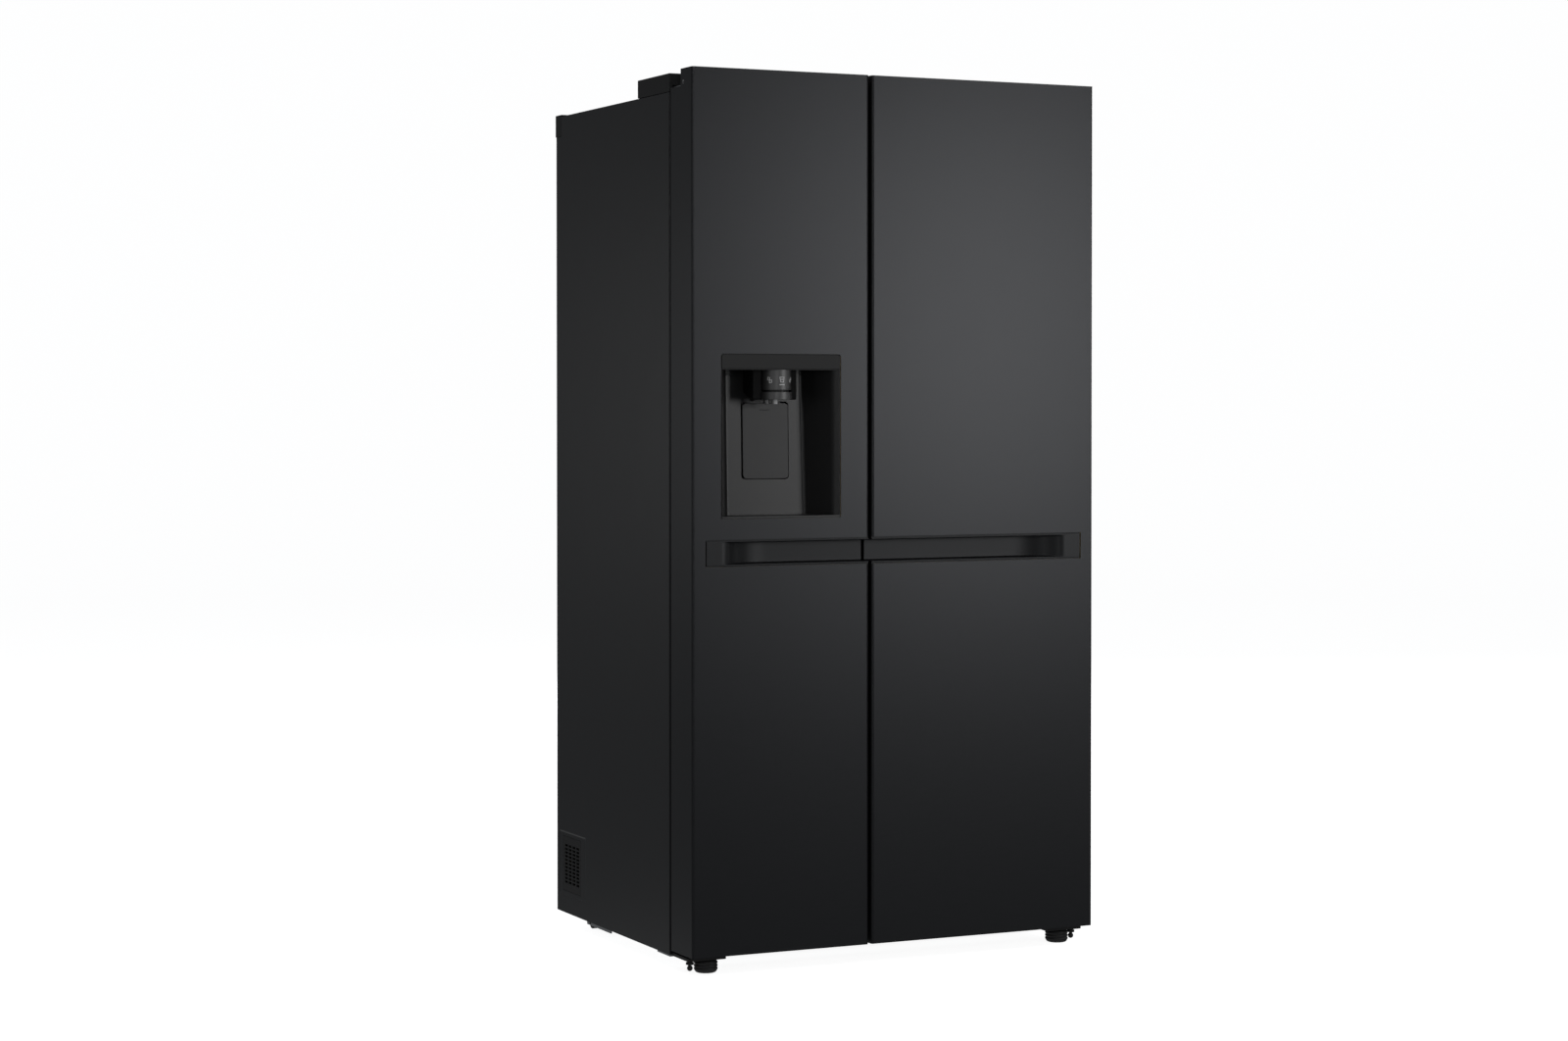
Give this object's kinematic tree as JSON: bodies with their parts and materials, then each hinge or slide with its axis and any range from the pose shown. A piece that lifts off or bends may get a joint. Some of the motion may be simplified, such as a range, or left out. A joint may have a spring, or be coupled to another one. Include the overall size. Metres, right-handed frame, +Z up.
{
  "type": "side-by-side refrigerator",
  "caption": "Tall side-by-side refrigerator with a narrow freezer door holding an ice and water dispenser, a wider fridge door, trough handles, bins, drawers and shelves.",
  "frame": {"origin": "on the floor, under the middle of the body's width and depth", "axes": "+Z up along the longest side; the doors face -Y; +X to the right seen from the front, so the freezer door is on the -X side"},
  "size_m": [0.913, 0.735, 1.79],
  "materials": {
    "case_paint": "satin",
    "door_steel": "satin",
    "dark_plastic": "satin",
    "dispenser_plastic": "satin",
    "satin_grey": "satin",
    "zinc_steel": "satin",
    "aluminium_fins": "satin",
    "back_sheet": "matte",
    "black_metal": "satin",
    "foam": "matte",
    "liner": "satin",
    "gasket": "matte",
    "clear_plastic": "gloss",
    "smoke_plastic": "gloss",
    "shelf_glass": "gloss"
  },
  "bodies": {
    "cabinet": {"air_duct": "liner", "back_panel": "back_sheet", "base_frame": "zinc_steel", "bottom_hinge_left": "zinc_steel", "bottom_hinge_right": "zinc_steel", "cabinet_foam": "foam", "compressor": "black_metal", "condenser_coil": "zinc_steel", "evaporator": "aluminium_fins", "evaporator_cover": "liner", "fan_shroud": "dark_plastic", "freezer_liner": "liner", "freezer_shelf_1": "shelf_glass", "freezer_shelf_2": "shelf_glass", "fridge_liner": "liner", "fridge_shelf_1": "shelf_glass", "fridge_shelf_2": "shelf_glass", "fridge_shelf_3": "shelf_glass", "machine_room_cover": "back_sheet", "outer_case": "case_paint", "rear_top_cap": "dark_plastic", "side_vent_grille": "dark_plastic", "top_cover": "dark_plastic", "top_hinge_left": "zinc_steel", "top_hinge_right": "zinc_steel"},
    "freezer_door": {"freezer_door_panel": "door_steel", "freezer_door_top_cap": "dark_plastic", "freezer_door_bottom_cap": "dark_plastic", "freezer_door_foam": "foam", "freezer_door_liner": "liner", "freezer_gasket": "gasket", "freezer_handle": "dark_plastic", "dispenser_housing": "dispenser_plastic", "dispenser_display": "dispenser_plastic", "dispenser_spout": "satin_grey", "ice_bin": "smoke_plastic", "freezer_door_bin_1": "clear_plastic", "freezer_door_bin_2": "clear_plastic"},
    "fridge_door": {"fridge_door_panel": "door_steel", "fridge_door_top_cap": "dark_plastic", "fridge_door_bottom_cap": "dark_plastic", "fridge_door_foam": "foam", "fridge_door_liner": "liner", "fridge_gasket": "gasket", "fridge_handle": "dark_plastic", "fridge_door_bin_1": "clear_plastic", "fridge_door_bin_2": "clear_plastic", "fridge_door_bin_3": "clear_plastic"},
    "dispenser_pad": {"dispenser_pad": "satin_grey"},
    "dispenser_selector": {"dispenser_selector": "satin_grey"},
    "front_foot_left": {"front_foot_left": "dark_plastic"},
    "front_foot_right": {"front_foot_right": "dark_plastic"},
    "rear_roller_left": {"rear_roller_left": "dark_plastic"},
    "rear_roller_right": {"rear_roller_right": "dark_plastic"},
    "condenser_fan": {"condenser_fan": "dark_plastic"},
    "evaporator_fan": {"evaporator_fan": "dark_plastic"},
    "freezer_drawer_lower": {"freezer_drawer_lower": "clear_plastic"},
    "freezer_drawer_upper": {"freezer_drawer_upper": "clear_plastic"},
    "fridge_drawer_lower": {"fridge_drawer_lower": "clear_plastic"},
    "fridge_drawer_upper": {"fridge_drawer_upper": "clear_plastic"}
  },
  "joints": [
    {"name": "freezer_door_hinge", "type": "hinge", "parent": "cabinet", "child": "freezer_door", "pos_m": [-0.4365, -0.29, 0.914], "axis": [0, 0, -1], "range_deg": [0, 110]},
    {"name": "fridge_door_hinge", "type": "hinge", "parent": "cabinet", "child": "fridge_door", "pos_m": [0.4365, -0.29, 0.914], "axis": [0, 0, 1], "range_deg": [0, 110]},
    {"name": "dispenser_pad_press", "type": "hinge", "parent": "freezer_door", "child": "dispenser_pad", "pos_m": [-0.2625, -0.2845, 1.127], "axis": [1, 0, 0], "range_deg": [0, 5], "stiffness_Nm_per_rad": 0.8},
    {"name": "dispenser_selector_turn", "type": "hinge", "parent": "freezer_door", "child": "dispenser_selector", "pos_m": [-0.2595, -0.3355, 1.178], "axis": [0, 0, 1], "range_deg": [-35, 35]},
    {"name": "front_foot_left_screw", "type": "hinge", "parent": "cabinet", "child": "front_foot_left", "pos_m": [-0.4035, -0.3125, 0], "axis": [0, 0, 1], "continuous": true},
    {"name": "front_foot_right_screw", "type": "hinge", "parent": "cabinet", "child": "front_foot_right", "pos_m": [0.4035, -0.3125, 0], "axis": [0, 0, 1], "continuous": true},
    {"name": "rear_roller_left_spin", "type": "hinge", "parent": "cabinet", "child": "rear_roller_left", "pos_m": [-0.4115, 0.2515, 0.0125], "axis": [1, 0, 0], "continuous": true},
    {"name": "rear_roller_right_spin", "type": "hinge", "parent": "cabinet", "child": "rear_roller_right", "pos_m": [0.4115, 0.2515, 0.0125], "axis": [1, 0, 0], "continuous": true},
    {"name": "condenser_fan_spin", "type": "hinge", "parent": "cabinet", "child": "condenser_fan", "pos_m": [-0.1115, 0.2615, 0.1354], "axis": [1, 0, 0], "continuous": true},
    {"name": "evaporator_fan_spin", "type": "hinge", "parent": "cabinet", "child": "evaporator_fan", "pos_m": [-0.24665, 0.2595, 0.912], "axis": [0, 1, 0], "continuous": true},
    {"name": "freezer_drawer_lower_slide", "type": "slide", "parent": "cabinet", "child": "freezer_drawer_lower", "axis": [0, -1, 0], "range_m": [0, 0.16]},
    {"name": "freezer_drawer_upper_slide", "type": "slide", "parent": "cabinet", "child": "freezer_drawer_upper", "axis": [0, -1, 0], "range_m": [0, 0.2]},
    {"name": "fridge_drawer_lower_slide", "type": "slide", "parent": "cabinet", "child": "fridge_drawer_lower", "axis": [0, -1, 0], "range_m": [0, 0.16]},
    {"name": "fridge_drawer_upper_slide", "type": "slide", "parent": "cabinet", "child": "fridge_drawer_upper", "axis": [0, -1, 0], "range_m": [0, 0.2]}
  ],
  "couplings": [
    {"joint": "freezer_drawer_lower_slide", "follows": "freezer_door_hinge", "m_per_rad": 0.0833},
    {"joint": "freezer_drawer_upper_slide", "follows": "freezer_door_hinge", "m_per_rad": 0.1041},
    {"joint": "fridge_drawer_lower_slide", "follows": "fridge_door_hinge", "m_per_rad": 0.0833},
    {"joint": "fridge_drawer_upper_slide", "follows": "fridge_door_hinge", "m_per_rad": 0.1041}
  ]
}
